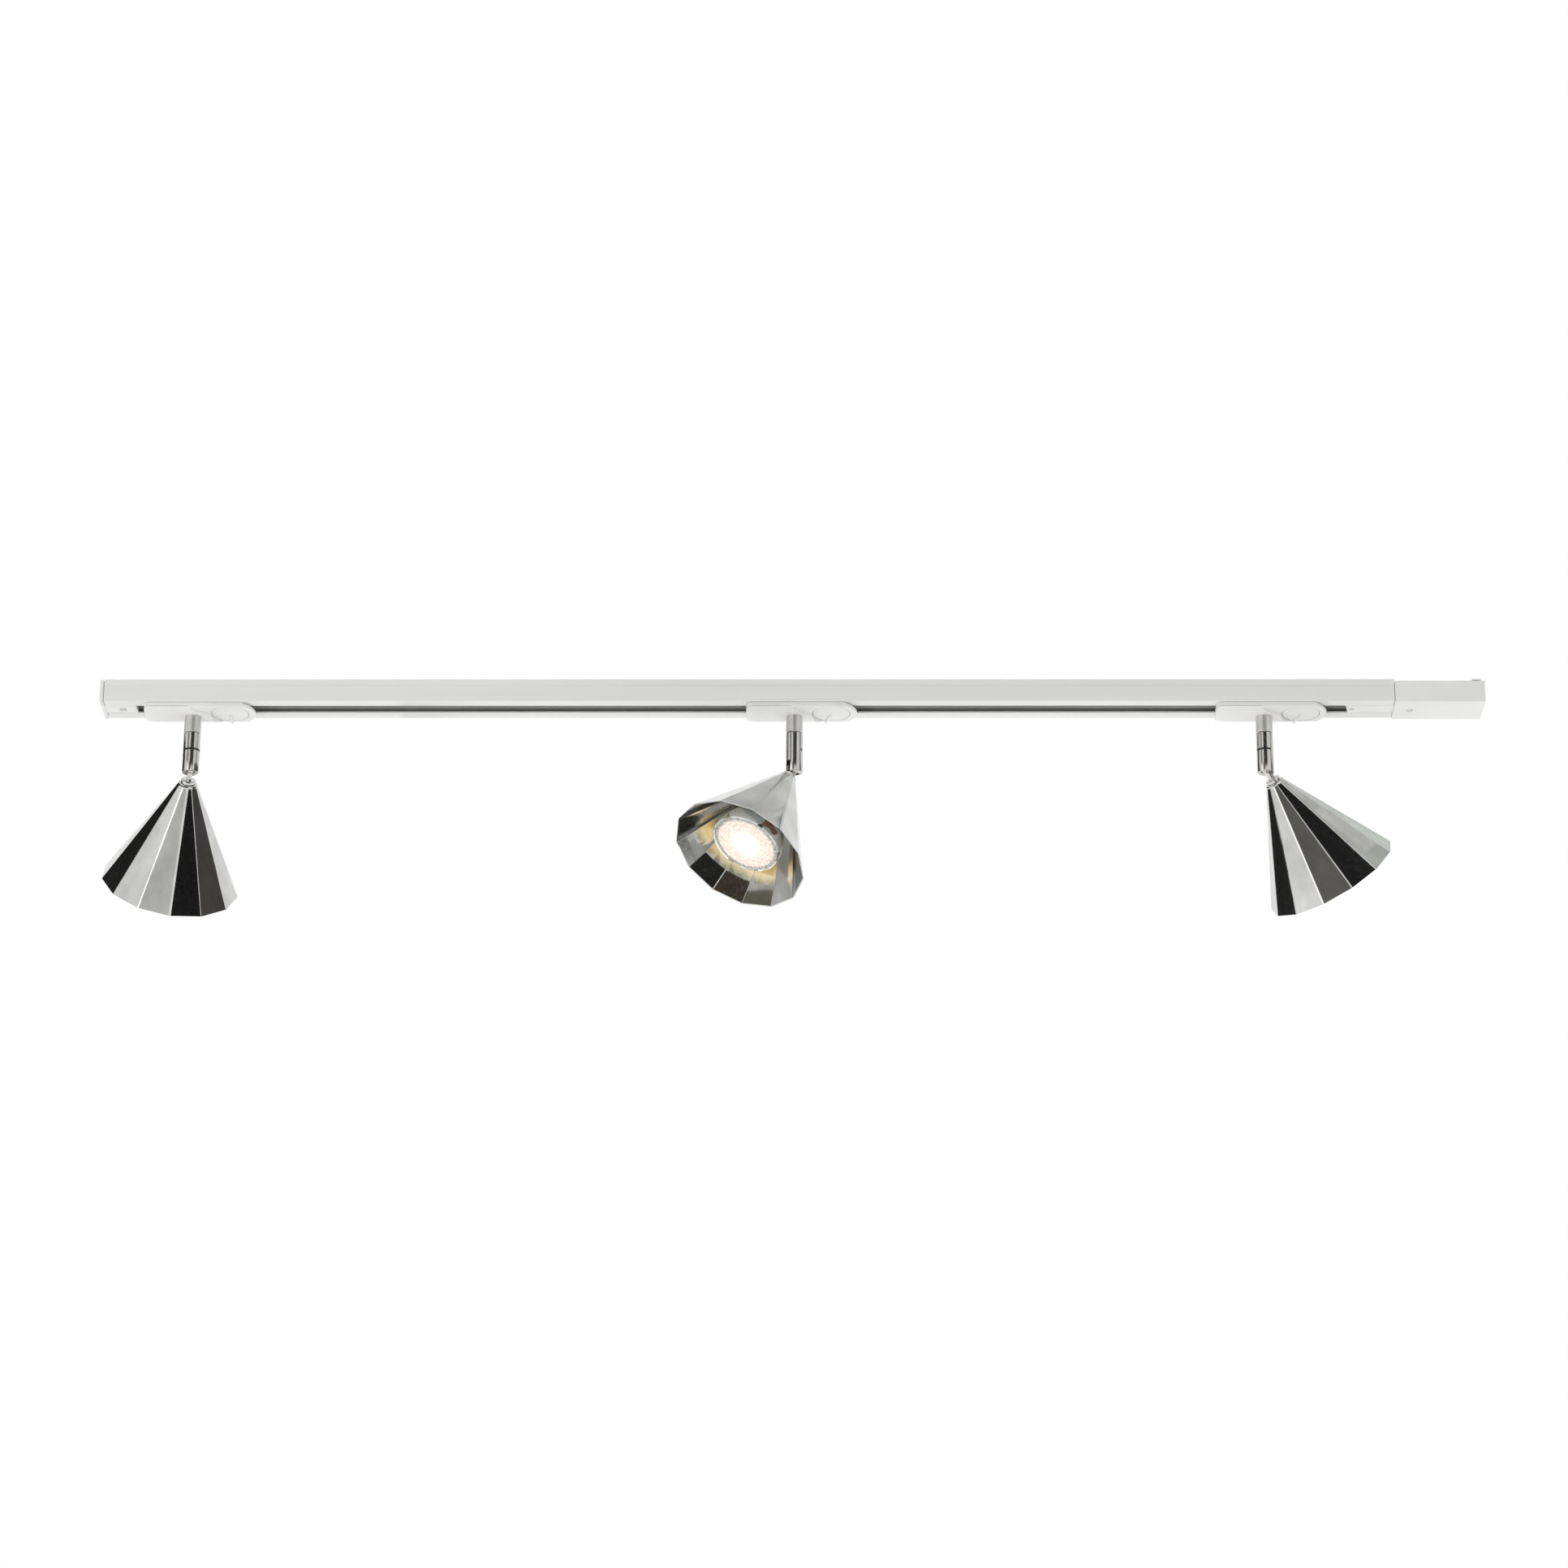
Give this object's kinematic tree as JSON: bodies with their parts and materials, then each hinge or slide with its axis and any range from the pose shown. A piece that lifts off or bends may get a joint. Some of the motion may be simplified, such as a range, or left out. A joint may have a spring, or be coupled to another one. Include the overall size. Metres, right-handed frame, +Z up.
{
  "type": "track lighting fixture",
  "caption": "White ceiling track with a plug-in power feed and swivelling spots in faceted metal cone shades, each sliding, turning and tilting, with twist-lock bulbs.",
  "frame": {"origin": "centre of the track's top face, which is screwed to the ceiling", "axes": "+X along the track towards the power feed, +Y away from the side that is looked at, +Z up, out of the top face into the ceiling"},
  "size_m": [1.076, 0.1985, 0.1822],
  "materials": {
    "white_aluminium": "satin white powder coat on extruded aluminium",
    "white_plastic": "satin white moulded plastic",
    "dark_insulator": "matt dark grey extruded plastic",
    "copper": "bare copper strip",
    "brass": "bare brass",
    "satin_nickel": "satin nickel plate",
    "brushed_shade": "brushed and polished sheet metal with fine lengthwise grain",
    "dark_steel": "blackened spring steel",
    "ceramic": "unglazed ceramic",
    "lamp_white": "glossy white",
    "lens": "pebbled clear lens over a warm white light"
  },
  "bodies": {
    "track": {"track_profile": "white_aluminium", "insulator_front": "dark_insulator", "conductor_front": "copper", "insulator_back": "dark_insulator", "conductor_back": "copper", "end_cap": "white_plastic", "end_cap_screw": "satin_nickel", "feed_cover": "white_plastic", "feed_cover_screw": "satin_nickel", "feed_tongue_screw": "satin_nickel", "feed_base": "white_plastic", "terminal_block": "ceramic", "feed_blade_front": "brass", "feed_blade_back": "brass"},
    "left_adapter": {"left_adapter_housing": "white_plastic", "left_stem_collar": "satin_nickel"},
    "left_lever": {"left_lock_lever": "white_plastic", "left_live_contact": "brass", "left_neutral_contact": "brass"},
    "left_arm": {"left_stem_tube": "satin_nickel", "left_swivel_clip": "dark_steel", "left_hinge_pin": "dark_steel"},
    "left_head": {"left_shade": "brushed_shade", "left_hinge_tongue": "brushed_shade", "left_shade_nut": "satin_nickel", "left_lamp_holder": "ceramic"},
    "left_bulb": {"left_bulb_base": "ceramic", "left_bulb_body": "lamp_white", "left_bulb_lens": "lens"},
    "middle_adapter": {"middle_adapter_housing": "white_plastic", "middle_stem_collar": "satin_nickel"},
    "middle_lever": {"middle_lock_lever": "white_plastic", "middle_live_contact": "brass", "middle_neutral_contact": "brass"},
    "middle_arm": {"middle_stem_tube": "satin_nickel", "middle_swivel_clip": "dark_steel", "middle_hinge_pin": "dark_steel"},
    "middle_head": {"middle_shade": "brushed_shade", "middle_hinge_tongue": "brushed_shade", "middle_shade_nut": "satin_nickel", "middle_lamp_holder": "ceramic"},
    "middle_bulb": {"middle_bulb_base": "ceramic", "middle_bulb_body": "lamp_white", "middle_bulb_lens": "lens"},
    "right_adapter": {"right_adapter_housing": "white_plastic", "right_stem_collar": "satin_nickel"},
    "right_lever": {"right_lock_lever": "white_plastic", "right_live_contact": "brass", "right_neutral_contact": "brass"},
    "right_arm": {"right_stem_tube": "satin_nickel", "right_swivel_clip": "dark_steel", "right_hinge_pin": "dark_steel"},
    "right_head": {"right_shade": "brushed_shade", "right_hinge_tongue": "brushed_shade", "right_shade_nut": "satin_nickel", "right_lamp_holder": "ceramic"},
    "right_bulb": {"right_bulb_base": "ceramic", "right_bulb_body": "lamp_white", "right_bulb_lens": "lens"}
  },
  "joints": [
    {"name": "left_slide", "type": "slide", "parent": "track", "child": "left_adapter", "axis": [1, 0, 0], "range_m": [-0.006, 0.15]},
    {"name": "left_lock", "type": "hinge", "parent": "left_adapter", "child": "left_lever", "pos_m": [-0.4034, 0, -0.021], "axis": [0, 0, 1], "range_deg": [-90, 15]},
    {"name": "left_swivel", "type": "hinge", "parent": "left_adapter", "child": "left_arm", "pos_m": [-0.432, 0, -0.0533], "axis": [0, 0, 1], "range_deg": [-191.9, 158.1]},
    {"name": "left_tilt", "type": "hinge", "parent": "left_arm", "child": "left_head", "pos_m": [-0.432, 0, -0.0673], "axis": [0.9568, 0.2907, 0], "range_deg": [-47.9, 32.1]},
    {"name": "left_bulb_twist", "type": "hinge", "parent": "left_head", "child": "left_bulb", "pos_m": [-0.432, 0, -0.0673], "axis": [-0.2157, 0.7099, -0.6704], "range_deg": [0, 22]},
    {"name": "middle_slide", "type": "slide", "parent": "track", "child": "middle_adapter", "axis": [1, 0, 0], "range_m": [-0.08, 0.06]},
    {"name": "middle_lock", "type": "hinge", "parent": "middle_adapter", "child": "middle_lever", "pos_m": [0.0646, 0, -0.021], "axis": [0, 0, 1], "range_deg": [-105, 0]},
    {"name": "middle_swivel", "type": "hinge", "parent": "middle_adapter", "child": "middle_arm", "pos_m": [0.036, 0, -0.0533], "axis": [0, 0, 1], "range_deg": [-308.4, 41.6]},
    {"name": "middle_tilt", "type": "hinge", "parent": "middle_arm", "child": "middle_head", "pos_m": [0.036, 0, -0.0673], "axis": [-0.6871, 0.7266, 0], "range_deg": [-33.1, 46.9]},
    {"name": "middle_bulb_twist", "type": "hinge", "parent": "middle_head", "child": "middle_bulb", "pos_m": [0.036, 0, -0.0673], "axis": [-0.3968, -0.3752, -0.8377], "range_deg": [0, 22]},
    {"name": "right_slide", "type": "slide", "parent": "track", "child": "right_adapter", "axis": [1, 0, 0], "range_m": [-0.065, 0.012]},
    {"name": "right_lock", "type": "hinge", "parent": "right_adapter", "child": "right_lever", "pos_m": [0.4286, 0, -0.021], "axis": [0, 0, 1], "range_deg": [-105, 0]},
    {"name": "right_swivel", "type": "hinge", "parent": "right_adapter", "child": "right_arm", "pos_m": [0.4, 0, -0.0533], "axis": [0, 0, 1], "range_deg": [-129.7, 220.3]},
    {"name": "right_tilt", "type": "hinge", "parent": "right_arm", "child": "right_head", "pos_m": [0.4, 0, -0.0673], "axis": [0.7034, -0.7108, 0], "range_deg": [-46.7, 33.3]},
    {"name": "right_bulb_twist", "type": "hinge", "parent": "right_head", "child": "right_bulb", "pos_m": [0.4, 0, -0.0673], "axis": [0.5173, 0.5119, -0.6858], "range_deg": [0, 22]}
  ]
}
